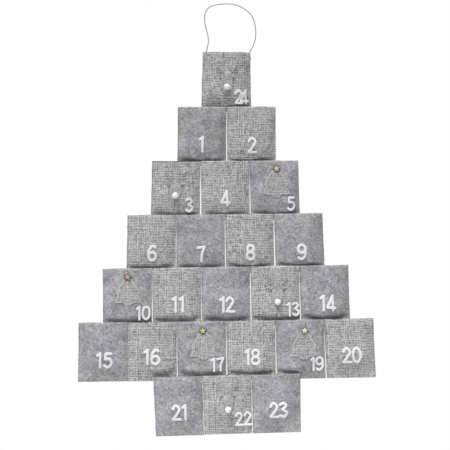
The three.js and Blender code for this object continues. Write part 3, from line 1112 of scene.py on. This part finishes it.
# For each number: how far aside and how high its middle sits, in mm
NUMERAL_AT = {
    1: (-1, 44), 2: (2, 42), 3: (28, 31), 4: (0, 45), 5: (32, 33), 6: (2.5, 43), 7: (1.4, 41),
    8: (1, 43), 9: (4, 42), 10: (32.5, 29.5), 11: (2.6, 46), 12: (2.6, 44), 13: (35, 32.5),
    14: (5, 44), 15: (4, 44), 16: (0, 50), 17: (31.5, 32.7), 18: (2.4, 47), 19: (32, 30.5),
    20: (2.4, 47), 21: (1, 49), 22: (32, 31.5), 23: (4, 48), 24: (30.5, 29.5),
}  # fmt: skip


def nearest(first, second, shift):
    """How close the strokes of two digits come when the second is moved aside."""
    aside = Vector((shift, 0, 0))
    left, right = [
        [dot for stroke in digit for dot in evenly(stroke, DOT_GAP)] for digit in (first, second)
    ]
    return min((one - other - aside).length for one in left for other in right)


def written(number):
    """A number's strokes at their real size round the origin, and that size as a share."""
    height = CORNER_HEIGHT if number in TREES + REINDEER else NUMERAL_HEIGHT
    size = height / NUMERAL_HEIGHT
    reach = size * (NUMERAL_HEIGHT - STROKE) * MM
    digits = [[[p * reach for p in stroke] for stroke in DIGITS[int(d)]] for d in str(number)]
    strokes = digits[0]
    if len(digits) == 2:
        wanted = size * STROKE * MM + DIGIT_GAPS[number] * MM
        shift = reach
        while nearest(*digits, shift - NUDGE) > wanted:
            shift -= NUDGE
        strokes += [[p + Vector((shift, 0, 0)) for p in stroke] for stroke in digits[1]]
    middle = Vector((max(p.x for stroke in strokes for p in stroke) / 2, 0, reach / 2))
    return [[p - middle for p in stroke] for stroke in strokes], size


def make_numeral(number):
    strokes, size = written(number)
    bm = bmesh.new()
    for stroke in strokes:
        string_beads(bm, stroke, size * STROKE * MM, BEAD_DEPTH * MM, number)
    skin = melt(bm, NUMERAL_VOXEL, -RELIEF * MM, 0)
    fronts[number].drape(skin, *NUMERAL_AT[number], -SUNK)
    look = numeral_white, "numeral_white"
    piece = numbered_piece("flock_numeral", number, skin, *look, "numeral")
    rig.padded(piece, fill=1)
    return piece


numerals = {number: make_numeral(number) for number in places}
print("numeral faces:", sum(len(piece.data.polygons) for piece in numerals.values()))

# %% [markdown]
# ## Cutting a flat shape out of cloth
#
# A cut-out starts as one face with the wanted outline. It is split into triangles, and knife
# planes at even distances divide it further into cells, so that it can bend with the pouch
# below. The Solidify modifier gives it the cloth's thickness. A tree's outline is drawn with
# close points that are shaken a little, as scissors do.

# %% Cut, lay and stitch cloth shapes
TRIM, TRIM_ROUNDING = 1.0, 0.3
CELL = 3.0
TRIM_SHIFT = Vector((53, 29, 7))
CUT_STEP, SHAKE, SHAKE_WAVE = 1.5, 0.35, 5
# The zigzag thread, in mm: how far inside and outside the edge it swings, how far apart its
# turns are, how high it lies and how thick it is
ZIGZAG_IN, ZIGZAG_OUT, ZIGZAG_PACE, ZIGZAG_LIFT, ZIGZAG_RADIUS = 1.2, 0.7, 0.9, 1.3, 0.33


def hand_cut(corners, seed):
    """A closed outline through the given corners, with close points that waver."""
    closed_line = straight(*corners, corners[0])
    points = []
    for start, end in zip(closed_line, closed_line[1:]):
        count = max(1, round((end - start).length / CUT_STEP))
        points += [start.lerp(end, i / count) for i in range(count)]
    for point in points:
        spot = Vector((point.x / SHAKE_WAVE, point.z / SHAKE_WAVE, seed))
        wobble = noise.noise_vector(spot)
        point.x += SHAKE * wobble.x
        point.z += SHAKE * wobble.y
    return points


def cut_out(outline):
    """A face with this outline, in millimetres, cut into cells."""
    bm = bmesh.new()
    bm.faces.new([bm.verts.new(point * MM) for point in outline])
    bmesh.ops.triangulate(bm, faces=bm.faces, ngon_method="EAR_CLIP")
    for axis in (Vector((1, 0, 0)), Vector((0, 0, 1))):
        reach = [vert.co.dot(axis) / MM for vert in bm.verts]
        for i in range(1, math.ceil((max(reach) - min(reach)) / CELL)):
            level = axis * (min(reach) + i * CELL) * MM
            everything = [*bm.verts, *bm.edges, *bm.faces]
            bmesh.ops.bisect_plane(bm, geom=everything, dist=1e-6, plane_co=level, plane_no=axis)
    return bm


def lay_cut_out(kind, number, bm, at, lift, material, slot, node):
    """Puts a flat cut-out on a pouch, gives it its thickness and says that it is a sheet."""
    mark_cloth(bm, TRIM_SHIFT * number)
    area = sum(face.calc_area() for face in bm.faces)
    flat = [max(v.co[k] for v in bm.verts) - min(v.co[k] for v in bm.verts) for k in (0, 2)]
    fronts[number].drape(bm, *at, lift + TRIM / 2)
    bmesh.ops.recalc_face_normals(bm, faces=bm.faces)
    piece = numbered_piece(kind, number, bm, material, slot, node)
    give_thickness(piece, TRIM, TRIM_ROUNDING)
    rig.sheet(piece, flat=flat, area=area, held="laid", rests_on=[pouches[number]])
    return piece


def add_zigzag(bm, number, outline, at):
    """Sews over the edge of a laid cut-out: the thread swings from outside the edge to inside."""
    closed_line = evenly([*outline, outline[0]], ZIGZAG_PACE)
    thread = []
    for i, point in enumerate(closed_line[:-1]):
        along = (closed_line[i + 1] - closed_line[i - 1 if i else -2]).normalized()
        inward = Vector((along.z, 0, -along.x))
        swing = point + inward * (ZIGZAG_IN if i % 2 else -ZIGZAG_OUT)
        lift = ZIGZAG_LIFT if i % 2 else 0.8 * ZIGZAG_LIFT
        thread.append(fronts[number].at(at[0] + swing.x, at[1] + swing.z, lift))
    runs = []
    for start, end in zip(thread, thread[1:]):
        runs += [start, start.lerp(end, 0.15), start.lerp(end, 0.85)]
    add_tube(bm, runs, ZIGZAG_RADIUS * MM, 5)


# %% [markdown]
# ## Fir trees with wooden stars
#
# Four felt pouches carry a fir of lighter woven cloth: a bell of two tiers with a short round
# trunk, sewn on with a pale zigzag thread that shows as a light outline. A small wooden star
# sits on its tip. The stars are cut by heat, so their edges are scorched brown: each is a dark
# layer with a smaller pale one on it.

# %% Make the trees
TREE_WIDTH, TREE_HEIGHT = 48.0, 57.0
# Half of the outline from the tip down, as shares of the width and of the height
TIERS = [
    (0, 1), (0.11, 0.93), (0.22, 0.83), (0.32, 0.7), (0.41, 0.57), (0.48, 0.43), (0.4, 0.38),
]  # fmt: skip
SKIRT = [(0.44, 0.29), (0.5, 0.2), (0.54, 0.11), (0.4, 0.1), (0.17, 0.11)]
TRUNK = [(0.165, 0.06), (0.13, 0.02), (0.07, 0)]
# For each tree: how far aside its middle and how high its foot is, in mm
TREE_AT = {5: (3.0, 46.0), 10: (2.2, 46.0), 17: (4.2, 44.5), 19: (6.6, 41.5)}
TREE_LIFT = 0.05


def make_tree(number):
    half = [(x * TREE_WIDTH, z * TREE_HEIGHT) for x, z in TIERS + SKIRT + TRUNK]
    outline = hand_cut(half + [(-x, z) for x, z in half[:0:-1]], number)
    at, slot, node = TREE_AT[number], "woven_trim", "tree_with_star"
    bm = cut_out(outline)
    cloth = lay_cut_out("woven_tree", number, bm, at, TREE_LIFT, woven_trim, slot, node)
    bm = bmesh.new()
    add_zigzag(bm, number, outline, at)
    numbered_piece("tree_stitches", number, bm, pale_thread, slot, node, False)
    return cloth


trees = {number: make_tree(number) for number in TREES}
print("tree faces:", len(trees[5].data.polygons))

# %% Make the stars
# The scorched back and the pale face of a star: radius, waist as a share of it, and thickness,
# in mm. The face is sunk a little into the back
STAR_LAYERS = [(8.8, 0.64, 1.6), (7.5, 0.43, 0.9)]
FACE_SUNK, STAR_ROUNDING = 0.1, 0.25
# For each tree: its star's wood, its scorched edge, how far the star is turned, in degrees, and
# how far aside of the tree's tip it sits, in mm
STARS = {
    5: ("c4b7ae", "66503f", 6, 1.4),
    10: ("b2a090", "5a4637", -9, -0.8),
    17: ("bcbb8a", "57553a", 4, -1.4),
    19: ("dcd4bc", "6f6046", -5, 2.0),
}


def star_material(number, wood, scorched):
    material = plain_finish(named("star_wood", number), wood, wood, 0.05, 0)
    tree = material.node_tree
    shader = tree.nodes["Principled BSDF"]
    shader.inputs["Roughness"].default_value = 0.65
    pattern = shader.inputs["Base Color"].links[0].from_socket
    burnt = add_node(tree, "ShaderNodeAttribute", attribute_name="burnt").outputs["Fac"]
    give(shader.inputs["Base Color"], blend_colours(burnt, pattern, colour(scorched)))
    return material


def star_layer(radius, waist, thickness):
    """A flat five-pointed star with softened edges. One point is up."""
    bm = bmesh.new()
    bmesh.ops.create_circle(bm, cap_ends=True, segments=10, radius=radius * MM)
    for vert in bm.verts:
        on_tip = round(math.degrees(math.atan2(vert.co.x, vert.co.y)) / 36) % 2 == 0
        vert.co *= 1 if on_tip else waist
    grown = bmesh.ops.extrude_face_region(bm, geom=list(bm.faces), use_keep_orig=True)
    moved = [item for item in grown["geom"] if isinstance(item, bmesh.types.BMVert)]
    bmesh.ops.translate(bm, verts=moved, vec=(0, 0, thickness * MM))
    bmesh.ops.recalc_face_normals(bm, faces=bm.faces)
    bmesh.ops.bevel(
        bm,
        geom=bm.edges,
        offset=STAR_ROUNDING * MM,
        segments=2,
        profile=0.5,
        affect="EDGES",
        material=-1,
    )
    return bm


def make_star(number):
    wood, scorched, turn, aside = STARS[number]
    bm = bmesh.new()
    burnt = bm.verts.layers.float.new("burnt")
    height = 0
    for layer, share in zip(STAR_LAYERS, (1, 0)):
        known = set(bm.verts)
        add_copy(bm, star_layer(*layer), Matrix.Translation((0, 0, height * MM)))
        for vert in set(bm.verts) - known:
            vert[burnt] = share
        height += layer[2] - FACE_SUNK
    lying = Matrix.Rotation(math.radians(90), 4, "X")
    upright = Matrix.Rotation(math.radians(turn), 4, "Z")
    middle, foot = TREE_AT[number]
    spot = fronts[number].at(middle + aside, foot + TREE_HEIGHT, TRIM * 0.9)
    bmesh.ops.transform(bm, verts=bm.verts, matrix=Matrix.Translation(spot) @ lying @ upright)
    look = star_material(number, wood, scorched), "star_wood"
    return numbered_piece("wooden_star", number, bm, *look, "tree_with_star")


stars = {number: make_star(number) for number in TREES}
print("star faces:", len(stars[5].data.polygons))

# %% [markdown]
# ## Reindeer heads and their pompom noses
#
# Four woven pouches carry a reindeer's head of felt in nearly the same grey, so that it hardly
# shows but for its white nose. It is cut in layers: the antlers lie lowest, then the ears with
# a dark patch of painted shade in each, then the face. The nose is a pompom, which is a ball of
# yarn ends. Its core is a lumpy sphere, and hundreds of thin tapering hairs stand out of it.

# %% Draw the heads
# For each head: how far aside its nose is, how high it sits, and how far the head's own middle
# is above it, in mm
NOSE_AT = {3: (0, 50), 13: (4, 48.4), 22: (1.2, 52), 24: (1.4, 48)}
HEAD_ABOVE_NOSE = {3: 6.0, 13: 9.0, 22: 11.0, 24: 3.0}
FACE = [
    (0, 18), (6.5, 17.2), (11, 13), (11.6, 6), (9.9, -2), (8.8, -8), (6.8, -13), (3.4, -15.6),
    (0, -16.2),
]  # fmt: skip
EAR_LEAF = [
    (0, -2), (4, -3.6), (9, -3.3), (13.5, -0.6), (15, 0.8), (12, 2.8), (7, 3.6), (2.5, 2.8),
]  # fmt: skip
EAR_MIDDLE, EAR_ROOT, EAR_TILT, EAR_SIZE = 7.5, (6.5, 12.5), 20, 0.78
ANTLER = [
    [(4, 15), (8, 25), (13, 32), (20, 36)],
    [(8.5, 26), (7, 33), (8, 39)],
    [(14, 32.5), (15.5, 37), (19, 41)],
    [(10, 28.5), (16, 28), (21, 29.5)],
]
ANTLER_WIDTH, ANTLER_SEED = 3.0, 3


def mirrored(points):
    return [*points, *((-x, z) for x, z in points[-2:0:-1])]


def rounded(corners, steps=4):
    """A closed smooth outline through the corners."""
    smooth = smooth_line(straight(corners[-1], *corners, *corners[:2]), steps)
    return smooth[steps : -2 * steps]


def ear_outline(side, grow=1.0):
    tilt = math.radians(EAR_TILT)
    points = []
    for x, z in EAR_LEAF:
        x, z = EAR_SIZE * (EAR_MIDDLE + (x - EAR_MIDDLE) * grow), EAR_SIZE * z * grow
        turned = (x * math.cos(tilt) - z * math.sin(tilt), x * math.sin(tilt) + z * math.cos(tilt))
        points.append((side * (EAR_ROOT[0] + turned[0]), EAR_ROOT[1] + turned[1]))
    return rounded(points)


def add_antler(bm, side):
    """Beads along the branches of one antler."""
    for branch in ANTLER:
        stroke = smooth_line(straight(*((side * x, z) for x, z in branch)), 6)
        stroke = [point * MM for point in stroke]
        string_beads(bm, stroke, ANTLER_WIDTH * MM, TRIM * MM, ANTLER_SEED)


print("points round a face:", len(rounded(mirrored(FACE))))

# %% Make the heads
ANTLER_VOXEL, ANTLER_SHIFT = 0.45 * MM, Vector((31, 0, 0))
# The antlers' width and height and their area, as flat cloth, in metres
ANTLER_FLAT, ANTLER_AREA = (0.046, 0.03), 0.00055
# How far each layer lies above what is below it, and how large the ears' patches of painted shade are
EAR_LIFT, FACE_LIFT, EAR_SHADE_LIFT, EAR_SHADE_SIZE = 0.1, 0.75, 0.12, 0.55


def make_antlers(number, at):
    bm = bmesh.new()
    for side in (-1, 1):
        add_antler(bm, side)
    skin = melt(bm, ANTLER_VOXEL, -TRIM / 2 * MM, TRIM / 2 * MM)
    mark_cloth(skin, ANTLER_SHIFT * number, depth=1)
    fronts[number].drape(skin, *at, TRIM / 2)
    look = felt_antler, "felt_lilac"
    piece = numbered_piece("felt_antlers", number, skin, *look, "reindeer_head")
    pouch = pouches[number]
    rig.sheet(piece, flat=ANTLER_FLAT, held="laid", area=ANTLER_AREA, rests_on=[pouch])
    return piece


def make_face(number, at):
    bm = bmesh.new()
    layers = [(ear_outline(side), EAR_LIFT) for side in (-1, 1)]
    for outline, lift in [*layers, (rounded(mirrored(FACE)), FACE_LIFT)]:
        add_copy(bm, cut_out(outline), Matrix.Translation((0, -lift * MM, 0)))
    look = felt_lilac, "felt_lilac"
    return lay_cut_out("felt_head", number, bm, at, 0, *look, "reindeer_head")


# Dark felt patches in the ears, which are painted shade.
def make_ear_insides(number, at):
    bm = bmesh.new()
    for side in (-1, 1):
        inside = cut_out(ear_outline(side, EAR_SHADE_SIZE))
        fronts[number].drape(inside, *at, EAR_LIFT + TRIM + EAR_SHADE_LIFT)
        add_copy(bm, inside)
    look = ear_dark, "felt_lilac"
    return numbered_piece("ear_insides", number, bm, *look, "reindeer_head", False)


heads = []
for number in REINDEER:
    aside, height = NOSE_AT[number]
    at = aside, height + HEAD_ABOVE_NOSE[number]
    heads += [make(number, at) for make in (make_antlers, make_face, make_ear_insides)]
print("head pieces:", len(heads))

# %% Make the pompoms
POMPOM = 6.6 * MM
CORE, CORE_LUMPS = POMPOM * 0.84, 0.05
POMPOM_HAIRS, HAIR_RADIUS, HAIR_TAPER = 950, 0.28 * MM, 0.75
SQUASH = 0.86


def hair_radius(share):
    return HAIR_RADIUS * (1 - HAIR_TAPER * share)


def make_pompom(number):
    draw = random.Random(number)
    bm = bmesh.new()
    bmesh.ops.create_icosphere(bm, subdivisions=3, radius=CORE)
    for vert in bm.verts:
        vert.co *= 1 + CORE_LUMPS * noise.noise(vert.co / CORE * 2.5 + Vector((number, 0, 0)))
    for _ in range(POMPOM_HAIRS):
        out = Vector((draw.gauss(0, 1), draw.gauss(0, 1), draw.gauss(0, 1))).normalized()
        lean = out.orthogonal().normalized() * draw.uniform(-0.5, 0.5) * MM
        reach = POMPOM * draw.uniform(0.9, 1.02)
        root, tip = out * CORE * 0.9, out * reach + lean
        add_tube(bm, [root, root.lerp(tip, 0.6) + lean * 0.2, tip], hair_radius, 4)
    spot = fronts[number].at(*NOSE_AT[number], TRIM * 2 + POMPOM / MM * 0.78)
    bmesh.ops.scale(bm, verts=bm.verts, vec=(1, SQUASH, 1))
    bmesh.ops.translate(bm, verts=bm.verts, vec=spot)
    look = pompom_white, "pompom_white"
    piece = numbered_piece("pompom_nose", number, bm, *look, "reindeer_head")
    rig.padded(piece, fill=0.9)
    return piece


pompoms = {number: make_pompom(number) for number in REINDEER}
print("pompom faces:", len(pompoms[24].data.polygons))

# %% [markdown]
# ## The ends of the cord
#
# Behind the top pouch each end of the cord hangs down a little further, is tied in a knot and
# tacked to the cloth. The knot is the twine's own route: one turn round itself before it goes
# on, with a short frayed end.

# %% Tie the ends
# The route of a cord end, in mm, with x from the place where the loop meets it
END_TOP, END_DROP, KNOT = Vector((0, 0.2, -97.4)), Vector((0, 0.1, -4)), Vector((0.3, 0.7, -109.3))
KNOT_TURN = [
    (0, 0, 3.2), (1.4, -0.9, 1.4), (1.7, 0.6, -0.6), (0, 1.4, -1.6), (-1.8, 0.6, -0.3),
    (-1.4, -1.0, 1.3), (0.4, -1.2, 1.6), (1.0, 0.2, 0.2), (0.2, 0.6, -1.8), (0.2, 0, -4.0),
    (0.5, 0.2, -6.4),
]  # fmt: skip
FRAYED_HAIRS, FRAYED_RADIUS = 26, 0.08 * MM


def make_cord_end(name, x):
    steps = [END_TOP, END_TOP + END_DROP, *(KNOT + Vector(step) for step in KNOT_TURN)]
    tail = smooth_line([(step + Vector((x, 0, 0))) * MM for step in steps], 6)
    bm = bmesh.new()
    add_twine(bm, tail)
    draw = random.Random(name)
    for _ in range(FRAYED_HAIRS):
        start = tail[-1] + Vector((draw.uniform(-0.7, 0.7), draw.uniform(-0.7, 0.7), 0.6)) * MM
        lean = Vector((draw.uniform(-1.4, 1.4), draw.uniform(-0.8, 0.8), -draw.uniform(1.5, 3)))
        end = start + lean * MM
        add_tube(bm, [start, start.lerp(end, 0.5), end], FRAYED_RADIUS, 3)
    return new_piece(f"twine_{name}", bm, twine, "twine", name)


cord_ends = [make_cord_end("cord_end_left", -41), make_cord_end("cord_end_right", 46.5)]
print("cord end faces:", len(cord_ends[0].data.polygons))

# %% [markdown]
# ## Seams
#
# Each pouch is sewn up both sides with a thread of nearly its own colour, in short straight
# stitches a little inside the edge. A stitch is a thin bar that dips into the cloth at both
# ends. The same stitches are set in the front and in the back.

# %% Sew the side seams
STITCH, STITCH_GAP, STITCH_RADIUS = 3.2, 1.5, 0.3
SEAM_START, SEAM_ENDS = 5, 8
# Along a stitch: shares of its length, and how far its thread is off the cloth there, in mm
STITCH_SHAPE = [(0, -0.25), (0.15, 0.12), (0.5, 0.12), (0.85, 0.12), (1, -0.25)]


def stitch(place, share, low, in_front):
    route = []
    for part, off in STITCH_SHAPE:
        height = low + part * STITCH
        if in_front:
            depth = front_depth(place, share * HALF, height) + off
        else:
            depth = back_depth(height) - off
        route.append(place.at(share, height, depth))
    return route


def make_seams(number):
    bm = bmesh.new()
    count = int((POUCH_HEIGHT - SEAM_ENDS) / (STITCH + STITCH_GAP))
    for side in (-1, 1):
        share = side * (1 - SEAM * 0.62 / HALF)
        for i in range(count):
            low = SEAM_START + i * (STITCH + STITCH_GAP)
            for in_front in (True, False):
                thread = stitch(places[number], share, low, in_front)
                add_tube(bm, thread, STITCH_RADIUS * MM, 5)
    slot = finish_of(number)[1]
    return numbered_piece("seams", number, bm, grey_thread, slot, "pouch", False)


seams = {number: make_seams(number) for number in places}
print("seam faces:", sum(len(piece.data.polygons) for piece in seams.values()))

# %% [markdown]
# ## Lights and background
#
# The photograph has a plain white ground and soft light from above the front, which leaves a
# dark band below each belly, just over the mouths of the next row. A wide sun gives soft
# shadows that are the same for all rows. The world is a gentle grey for the light that falls
# on the cloth, and plain white for what the camera sees behind it.

# %% Set up the studio
SKY_LIGHT, SKY_SEEN = 0.32, 1.0
SUN_STRENGTH, SUN_SPREAD, SUN_TOWARDS = 4.0, 30, Vector((0.22, 0.46, -1.0))
FLOOR_RADIUS, FLOOR_HEIGHT = 1.6, -1.35


def make_world():
    world = bpy.data.worlds.new("studio")
    world.use_nodes = True
    scene.world = world
    tree = world.node_tree
    tree.nodes.clear()
    rays = add_node(tree, "ShaderNodeLightPath").outputs
    seen = maths("MAXIMUM", rays["Is Camera Ray"], rays["Is Glossy Ray"])
    inputs = {0: maths("MAXIMUM", seen, rays["Is Transmission Ray"])}
    for i, strength in ((1, SKY_LIGHT), (2, SKY_SEEN)):
        sky = {"Color": (1, 1, 1, 1), "Strength": strength}
        inputs[i] = add_node(tree, "ShaderNodeBackground", sky).outputs[0]
    mixed = add_node(tree, "ShaderNodeMixShader", inputs)
    add_node(tree, "ShaderNodeOutputWorld", {"Surface": mixed.outputs[0]})


def make_sun():
    data = bpy.data.lights.new("window", "SUN")
    data.energy = SUN_STRENGTH
    data.angle = math.radians(SUN_SPREAD)
    sun = bpy.data.objects.new("window", data)
    scene.collection.objects.link(sun)
    sun.rotation_euler = SUN_TOWARDS.to_track_quat("-Z", "Y").to_euler()


def make_floor():
    """A round pale floor below the calendar, out of the photograph's view."""
    bm = bmesh.new()
    bmesh.ops.create_circle(bm, cap_ends=True, segments=64, radius=FLOOR_RADIUS)
    bmesh.ops.translate(bm, verts=bm.verts, vec=(0, 0, FLOOR_HEIGHT))
    floor = new_object("floor", bm)
    material = bpy.data.materials.new("floor")
    material.use_nodes = True
    shader = material.node_tree.nodes["Principled BSDF"]
    shader.inputs["Base Color"].default_value = colour("f2f2f2")
    shader.inputs["Roughness"].default_value = 0.9
    floor.data.materials.append(material)
    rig.stage(floor)


make_world()
make_sun()
make_floor()
print("sun:", SUN_STRENGTH, "sky:", SKY_LIGHT)

# %% Write both boxes and finish
dressed_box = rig.bounds()
both = (("cad", cad_box), ("dressed", dressed_box))
boxes = {name: [list(corner) for corner in box] for name, box in both}
with open("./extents.json", "w") as file:
    json.dump(boxes, file)
for name, (low, high) in boxes.items():
    print(name, "box in mm:", [round(v / MM, 1) for v in low], [round(v / MM, 1) for v in high])
